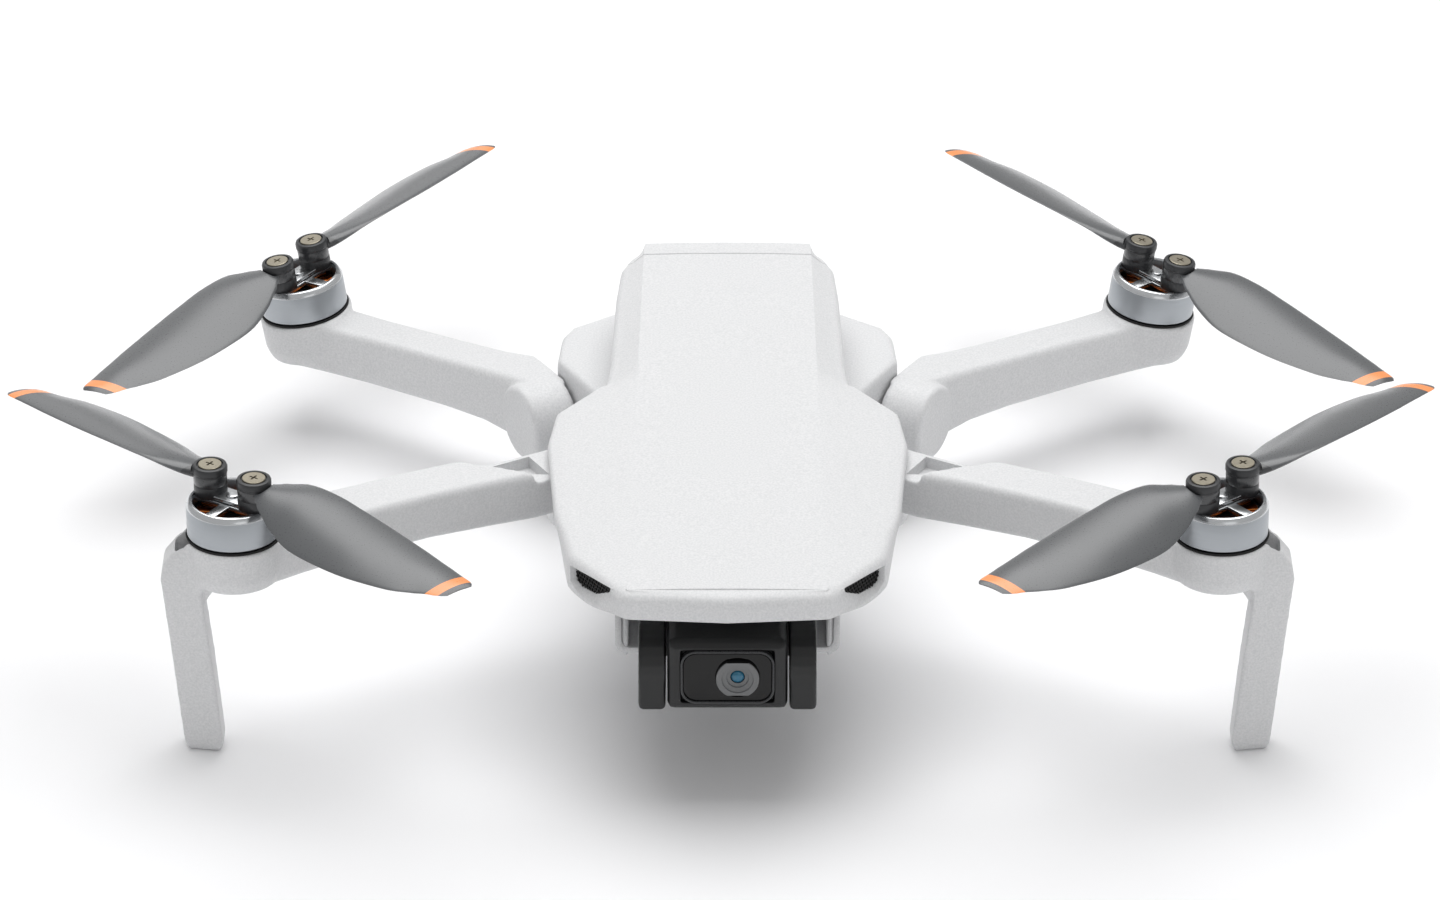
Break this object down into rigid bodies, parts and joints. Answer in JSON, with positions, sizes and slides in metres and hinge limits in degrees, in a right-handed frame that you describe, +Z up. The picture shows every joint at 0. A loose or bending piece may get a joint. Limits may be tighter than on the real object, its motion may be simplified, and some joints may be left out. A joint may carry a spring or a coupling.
{
  "type": "folding camera drone",
  "caption": "Foldable four-rotor camera drone: hinged arms, folding two-blade propellers, three-axis gimbal camera, hinged battery bay",
  "frame": {"origin": "on the flat of the belly at ground level, on the middle line of the body, near the front end of that flat", "axes": "+Z up, nose towards -Y, the drone's own left side towards +X"},
  "size_m": [0.2644, 0.2066, 0.056],
  "materials": {
    "shell_plastic": "fine textured moulded pale grey",
    "copper_winding": "enamelled copper wire",
    "satin_aluminium": "satin turned aluminium",
    "polished_steel": "ground steel",
    "hub_plastic": "near-black moulded plastic",
    "blade_plastic": "satin grey moulded plastic with an orange tip band",
    "nickel_screw": "nickel-plated steel",
    "black_mesh": "black mesh",
    "circuit_board": "green solder mask",
    "cast_alloy": "die-cast alloy",
    "gimbal_black": "black satin",
    "ceramic": "ceramic antenna",
    "gloss_black": "gloss black",
    "lens_coating": "coated glass",
    "battery_plastic": "dark grey shell",
    "button_plastic": "grey button",
    "fan_plastic": "black nylon"
  },
  "bodies": {
    "fuselage": {"top_shell": "shell_plastic", "lower_shell": "shell_plastic", "mainboard": "circuit_board", "heat_sink": "cast_alloy", "gimbal_damper_plate": "gimbal_black", "intake_grille_left": "black_mesh", "intake_grille_right": "black_mesh", "satellite_receiver": "ceramic", "belly_sensor_window": "gloss_black", "battery_door_pin": "polished_steel", "front_left_hinge_pin": "polished_steel", "rear_left_hinge_pin": "polished_steel", "front_right_hinge_pin": "polished_steel", "rear_right_hinge_pin": "polished_steel"},
    "front_left_arm_body": {"front_left_arm": "shell_plastic", "front_left_stator": "copper_winding"},
    "front_left_rotor": {"front_left_motor_bell": "satin_aluminium", "front_left_motor_shaft": "polished_steel", "front_left_propeller_hub": "hub_plastic", "front_left_blade_screw_1": "nickel_screw", "front_left_blade_screw_2": "nickel_screw"},
    "front_left_blade_body_1": {"front_left_blade_1": "blade_plastic"},
    "front_left_blade_body_2": {"front_left_blade_2": "blade_plastic"},
    "rear_left_arm_body": {"rear_left_arm": "shell_plastic", "rear_left_stator": "copper_winding"},
    "rear_left_rotor": {"rear_left_motor_bell": "satin_aluminium", "rear_left_motor_shaft": "polished_steel", "rear_left_propeller_hub": "hub_plastic", "rear_left_blade_screw_1": "nickel_screw", "rear_left_blade_screw_2": "nickel_screw"},
    "rear_left_blade_body_1": {"rear_left_blade_1": "blade_plastic"},
    "rear_left_blade_body_2": {"rear_left_blade_2": "blade_plastic"},
    "front_right_arm_body": {"front_right_arm": "shell_plastic", "front_right_stator": "copper_winding"},
    "front_right_rotor": {"front_right_motor_bell": "satin_aluminium", "front_right_motor_shaft": "polished_steel", "front_right_propeller_hub": "hub_plastic", "front_right_blade_screw_1": "nickel_screw", "front_right_blade_screw_2": "nickel_screw"},
    "front_right_blade_body_1": {"front_right_blade_1": "blade_plastic"},
    "front_right_blade_body_2": {"front_right_blade_2": "blade_plastic"},
    "rear_right_arm_body": {"rear_right_arm": "shell_plastic", "rear_right_stator": "copper_winding"},
    "rear_right_rotor": {"rear_right_motor_bell": "satin_aluminium", "rear_right_motor_shaft": "polished_steel", "rear_right_propeller_hub": "hub_plastic", "rear_right_blade_screw_1": "nickel_screw", "rear_right_blade_screw_2": "nickel_screw"},
    "rear_right_blade_body_1": {"rear_right_blade_1": "blade_plastic"},
    "rear_right_blade_body_2": {"rear_right_blade_2": "blade_plastic"},
    "gimbal_yaw_body": {"gimbal_yaw_arm": "gimbal_black"},
    "gimbal_roll_body": {"gimbal_roll_yoke": "gimbal_black"},
    "camera_body": {"camera_housing": "gimbal_black", "camera_window": "gloss_black", "lens_barrel": "lens_coating"},
    "battery_door_body": {"battery_door": "shell_plastic"},
    "battery_body": {"battery_pack": "battery_plastic"},
    "power_button_body": {"power_button": "button_plastic"},
    "cooling_fan_body": {"cooling_fan": "fan_plastic"}
  },
  "joints": [
    {"name": "front_left_spin", "type": "hinge", "parent": "front_left_arm_body", "child": "front_left_rotor", "pos_m": [0.0883, -0.0628, 0.0502], "axis": [0, 0, 1], "continuous": true},
    {"name": "front_left_blade_fold_1", "type": "hinge", "parent": "front_left_rotor", "child": "front_left_blade_body_1", "pos_m": [0.09201, -0.05968, 0.0536], "axis": [0, 0, -1], "range_deg": [-84, 86]},
    {"name": "front_left_blade_fold_2", "type": "hinge", "parent": "front_left_rotor", "child": "front_left_blade_body_2", "pos_m": [0.08458, -0.06592, 0.0536], "axis": [0, 0, 1], "range_deg": [-80, 90]},
    {"name": "rear_left_spin", "type": "hinge", "parent": "rear_left_arm_body", "child": "rear_left_rotor", "pos_m": [0.0835, 0.0628, 0.0311], "axis": [0.1478, 0, 0.989], "continuous": true},
    {"name": "rear_left_blade_fold_1", "type": "hinge", "parent": "rear_left_rotor", "child": "rear_left_blade_body_1", "pos_m": [0.08757, 0.05955, 0.03393], "axis": [0.1478, 0, 0.989], "range_deg": [-96, 84]},
    {"name": "rear_left_blade_fold_2", "type": "hinge", "parent": "rear_left_rotor", "child": "rear_left_blade_body_2", "pos_m": [0.08044, 0.06605, 0.03499], "axis": [-0.1478, 0, -0.989], "range_deg": [-89, 91]},
    {"name": "front_left_fold", "type": "hinge", "parent": "fuselage", "child": "front_left_arm_body", "pos_m": [0.027, -0.0271, 0.036], "axis": [0, 0, 1], "range_deg": [0, 114]},
    {"name": "rear_left_fold", "type": "hinge", "parent": "fuselage", "child": "rear_left_arm_body", "pos_m": [0.03, 0.0305, 0.0185], "axis": [-0.8746, 0.4848, 0], "range_deg": [0, 180]},
    {"name": "front_right_spin", "type": "hinge", "parent": "front_right_arm_body", "child": "front_right_rotor", "pos_m": [-0.0883, -0.0628, 0.0502], "axis": [0, 0, -1], "continuous": true},
    {"name": "front_right_blade_fold_1", "type": "hinge", "parent": "front_right_rotor", "child": "front_right_blade_body_1", "pos_m": [-0.09237, -0.06016, 0.0536], "axis": [0, 0, 1], "range_deg": [-80, 90]},
    {"name": "front_right_blade_fold_2", "type": "hinge", "parent": "front_right_rotor", "child": "front_right_blade_body_2", "pos_m": [-0.08423, -0.06544, 0.0536], "axis": [0, 0, -1], "range_deg": [-89, 81]},
    {"name": "rear_right_spin", "type": "hinge", "parent": "rear_right_arm_body", "child": "rear_right_rotor", "pos_m": [-0.0835, 0.0628, 0.0311], "axis": [0.1478, 0, -0.989], "continuous": true},
    {"name": "rear_right_blade_fold_1", "type": "hinge", "parent": "rear_right_rotor", "child": "rear_right_blade_body_1", "pos_m": [-0.08709, 0.05908, 0.034], "axis": [0.1478, 0, -0.989], "range_deg": [-97, 83]},
    {"name": "rear_right_blade_fold_2", "type": "hinge", "parent": "rear_right_rotor", "child": "rear_right_blade_body_2", "pos_m": [-0.08092, 0.06652, 0.03492], "axis": [-0.1478, 0, 0.989], "range_deg": [-85, 95]},
    {"name": "front_right_fold", "type": "hinge", "parent": "fuselage", "child": "front_right_arm_body", "pos_m": [-0.027, -0.0271, 0.036], "axis": [0, 0, -1], "range_deg": [0, 114]},
    {"name": "rear_right_fold", "type": "hinge", "parent": "fuselage", "child": "rear_right_arm_body", "pos_m": [-0.03, 0.0305, 0.0185], "axis": [-0.8746, -0.4848, 0], "range_deg": [0, 180]},
    {"name": "gimbal_yaw", "type": "hinge", "parent": "fuselage", "child": "gimbal_yaw_body", "pos_m": [0, -0.06, 0.0264], "axis": [0, 0, 1], "range_deg": [-18, 18]},
    {"name": "gimbal_roll", "type": "hinge", "parent": "gimbal_yaw_body", "child": "gimbal_roll_body", "pos_m": [0, -0.06, 0.0264], "axis": [0, 1, 0], "range_deg": [-26, 26]},
    {"name": "gimbal_tilt", "type": "hinge", "parent": "gimbal_roll_body", "child": "camera_body", "pos_m": [0, -0.0782, 0.0264], "axis": [-1, 0, 0], "range_deg": [-110, 35]},
    {"name": "battery_door_hinge", "type": "hinge", "parent": "fuselage", "child": "battery_door_body", "pos_m": [0, 0.0521, 0.0088], "axis": [-1, 0, 0], "range_deg": [0, 100]},
    {"name": "battery_slide", "type": "slide", "parent": "fuselage", "child": "battery_body", "axis": [0, 1, 0], "range_m": [0, 0.004]},
    {"name": "power_button_press", "type": "slide", "parent": "fuselage", "child": "power_button_body", "axis": [0, 0, 1], "range_m": [0, 0.0006], "stiffness_N_per_m": 800, "springref_m": -0.0003},
    {"name": "cooling_fan_spin", "type": "hinge", "parent": "fuselage", "child": "cooling_fan_body", "pos_m": [0, -0.03, 0.03], "axis": [0, 0, 1], "continuous": true}
  ],
  "couplings": [
    {"joint": "rear_left_fold", "follows": "front_left_fold", "ratio": 1.5789},
    {"joint": "rear_right_fold", "follows": "front_right_fold", "ratio": 1.5789},
    {"joint": "battery_slide", "follows": "battery_door_hinge", "m_per_rad": 0.002292}
  ]
}
